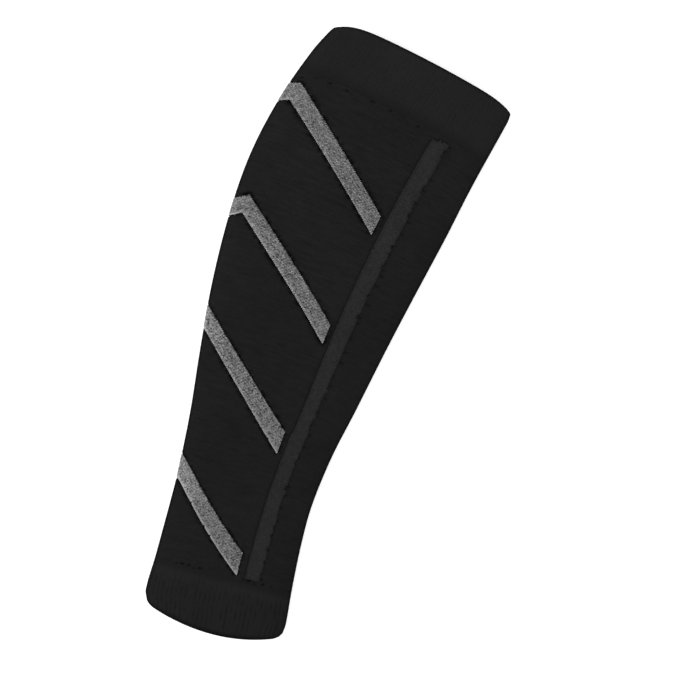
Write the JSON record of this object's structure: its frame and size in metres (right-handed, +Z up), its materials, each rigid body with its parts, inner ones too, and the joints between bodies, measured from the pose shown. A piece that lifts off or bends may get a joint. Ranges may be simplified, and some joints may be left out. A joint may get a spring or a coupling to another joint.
{
  "type": "calf compression sleeve",
  "caption": "Footless knitted tube for the lower leg, lying flat, with ribbed cuffs, knitted-in support bands and pointed reflective stripes wrapping one side.",
  "frame": {"origin": "middle of the sleeve's plan outline, on the surface that it lies on", "axes": "+Y along the sleeve from the ankle cuff to the knee cuff, +Z up out of the front face, +X towards the fold beside the front band"},
  "size_m": [0.1271, 0.3406, 0.0185],
  "materials": {
    "body_knit": "matt black nylon and elastane plain knit",
    "cuff_rib": "matt black ribbed knit, doubled at the rim",
    "support_band": "dark grey raised knit band",
    "reflective_yarn": "heathered grey reflective yarn, looped knit"
  },
  "bodies": {
    "root": {"sleeve_body": "body_knit", "knee_cuff": "cuff_rib", "ankle_cuff": "cuff_rib", "support_band_front": "support_band", "support_band_back": "support_band", "chevron_1": "reflective_yarn", "chevron_2": "reflective_yarn", "chevron_3": "reflective_yarn", "chevron_4": "reflective_yarn"}
  },
  "joints": []
}
